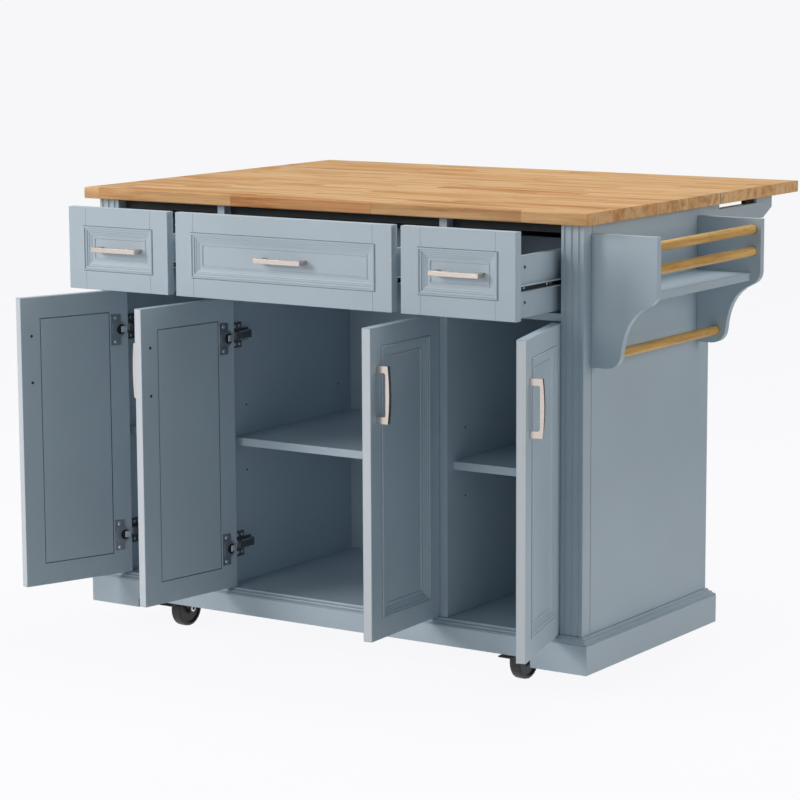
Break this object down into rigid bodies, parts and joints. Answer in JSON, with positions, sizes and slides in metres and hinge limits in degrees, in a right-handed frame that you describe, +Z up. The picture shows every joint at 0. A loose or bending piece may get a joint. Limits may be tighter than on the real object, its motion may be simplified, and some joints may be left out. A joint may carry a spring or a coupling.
{
  "type": "drop leaf kitchen island",
  "caption": "Rolling kitchen island with wood worktop, raised rear drop leaf, drawers, framed doors, side spice rack and towel rail.",
  "frame": {"origin": "centre of the fixed worktop's top face, 930 mm above the floor", "axes": "+X to the right of someone facing the doors, +Y to the back towards the drop leaf, +Z up"},
  "size_m": [1.3549, 1.1195, 0.93],
  "materials": {
    "worktop_wood": "oiled satin",
    "paint": "satin paint",
    "dowel_wood": "clear satin",
    "pulls": "brushed nickel",
    "hinge_steel": "nickel plated",
    "caster_steel": "black",
    "caster_tread": "matte black"
  },
  "bodies": {
    "cabinet": {"worktop": "worktop_wood", "leaf_hinge_fixed": "hinge_steel", "support_pivot_left": "hinge_steel", "support_pivot_right": "hinge_steel", "side_panel_left": "paint", "side_panel_right": "paint", "end_frame_left": "paint", "end_frame_right": "paint", "partition_left": "paint", "partition_right": "paint", "drawer_deck": "paint", "top_frame": "paint", "floor_panel": "paint", "back_panel": "paint", "shelf_left": "paint", "shelf_middle": "paint", "shelf_right": "paint", "plinth": "paint", "plinth_moulding": "paint", "rack_end_front": "paint", "rack_end_back": "paint", "rack_shelf": "paint", "rack_rail_upper": "dowel_wood", "rack_rail_lower": "dowel_wood", "towel_rail": "dowel_wood", "caster_plate_front_left": "caster_steel", "caster_plate_front_right": "caster_steel", "caster_plate_back_left": "caster_steel", "caster_plate_back_right": "caster_steel"},
    "leaf": {"drop_leaf": "worktop_wood", "leaf_hinge_moving": "hinge_steel"},
    "support_left": {"leaf_support_left": "paint"},
    "support_right": {"leaf_support_right": "paint"},
    "door_1": {"door_1": "paint", "door_handle_1": "pulls"},
    "door_2": {"door_2": "paint", "door_handle_2": "pulls"},
    "door_3": {"door_3": "paint", "door_handle_3": "pulls"},
    "door_4": {"door_4": "paint", "door_handle_4": "pulls"},
    "drawer_left": {"drawer_front_left": "paint", "drawer_box_left": "paint", "drawer_handle_left": "pulls"},
    "drawer_middle": {"drawer_front_middle": "paint", "drawer_box_middle": "paint", "drawer_handle_middle": "pulls"},
    "drawer_right": {"drawer_front_right": "paint", "drawer_box_right": "paint", "drawer_handle_right": "pulls"},
    "caster_front_left": {"caster_fork_front_left": "caster_steel"},
    "wheel_front_left": {"caster_wheel_front_left": "caster_tread"},
    "caster_front_right": {"caster_fork_front_right": "caster_steel"},
    "wheel_front_right": {"caster_wheel_front_right": "caster_tread"},
    "caster_back_left": {"caster_fork_back_left": "caster_steel"},
    "wheel_back_left": {"caster_wheel_back_left": "caster_tread"},
    "caster_back_right": {"caster_fork_back_right": "caster_steel"},
    "wheel_back_right": {"caster_wheel_back_right": "caster_tread"}
  },
  "joints": [
    {"name": "leaf_fold", "type": "hinge", "parent": "cabinet", "child": "leaf", "pos_m": [0, 0.269, -0.0268], "axis": [-1, 0, 0], "range_deg": [0, 90]},
    {"name": "support_left_fold", "type": "hinge", "parent": "cabinet", "child": "support_left", "pos_m": [-0.549, 0.2625, -0.0313], "axis": [-1, 0, 0], "range_deg": [0, 90]},
    {"name": "support_right_fold", "type": "hinge", "parent": "cabinet", "child": "support_right", "pos_m": [0.549, 0.2625, -0.0313], "axis": [-1, 0, 0], "range_deg": [0, 90]},
    {"name": "door_1_swing", "type": "hinge", "parent": "cabinet", "child": "door_1", "pos_m": [-0.5275, -0.2418, -0.51], "axis": [0, 0, -1], "range_deg": [-110, 0]},
    {"name": "door_2_swing", "type": "hinge", "parent": "cabinet", "child": "door_2", "pos_m": [-0.255, -0.2418, -0.51], "axis": [0, 0, -1], "range_deg": [-98.5, 11.5]},
    {"name": "door_3_swing", "type": "hinge", "parent": "cabinet", "child": "door_3", "pos_m": [0.255, -0.2418, -0.51], "axis": [0, 0, 1], "range_deg": [-92.5, 17.5]},
    {"name": "door_4_swing", "type": "hinge", "parent": "cabinet", "child": "door_4", "pos_m": [0.5275, -0.2418, -0.51], "axis": [0, 0, 1], "range_deg": [-106, 4]},
    {"name": "drawer_left_slide", "type": "slide", "parent": "cabinet", "child": "drawer_left", "axis": [0, -1, 0], "range_m": [-0.162, 0.138]},
    {"name": "drawer_middle_slide", "type": "slide", "parent": "cabinet", "child": "drawer_middle", "axis": [0, -1, 0], "range_m": [-0.162, 0.138]},
    {"name": "drawer_right_slide", "type": "slide", "parent": "cabinet", "child": "drawer_right", "axis": [0, -1, 0], "range_m": [-0.162, 0.138]},
    {"name": "caster_front_left_swivel", "type": "hinge", "parent": "cabinet", "child": "caster_front_left", "pos_m": [-0.427, -0.142, -0.89], "axis": [0, 0, 1], "continuous": true},
    {"name": "wheel_front_left_roll", "type": "hinge", "parent": "caster_front_left", "child": "wheel_front_left", "pos_m": [-0.427, -0.172, -0.892], "axis": [1, 0, 0], "continuous": true},
    {"name": "caster_front_right_swivel", "type": "hinge", "parent": "cabinet", "child": "caster_front_right", "pos_m": [0.409, -0.142, -0.89], "axis": [0, 0, 1], "continuous": true},
    {"name": "wheel_front_right_roll", "type": "hinge", "parent": "caster_front_right", "child": "wheel_front_right", "pos_m": [0.409, -0.172, -0.892], "axis": [1, 0, 0], "continuous": true},
    {"name": "caster_back_left_swivel", "type": "hinge", "parent": "cabinet", "child": "caster_back_left", "pos_m": [-0.427, 0.142, -0.89], "axis": [0, 0, 1], "continuous": true},
    {"name": "wheel_back_left_roll", "type": "hinge", "parent": "caster_back_left", "child": "wheel_back_left", "pos_m": [-0.427, 0.172, -0.892], "axis": [1, 0, 0], "continuous": true},
    {"name": "caster_back_right_swivel", "type": "hinge", "parent": "cabinet", "child": "caster_back_right", "pos_m": [0.409, 0.142, -0.89], "axis": [0, 0, 1], "continuous": true},
    {"name": "wheel_back_right_roll", "type": "hinge", "parent": "caster_back_right", "child": "wheel_back_right", "pos_m": [0.409, 0.172, -0.892], "axis": [1, 0, 0], "continuous": true}
  ],
  "couplings": [
    {"joint": "support_left_fold", "follows": "leaf_fold", "ratio": 1},
    {"joint": "support_right_fold", "follows": "leaf_fold", "ratio": 1}
  ]
}
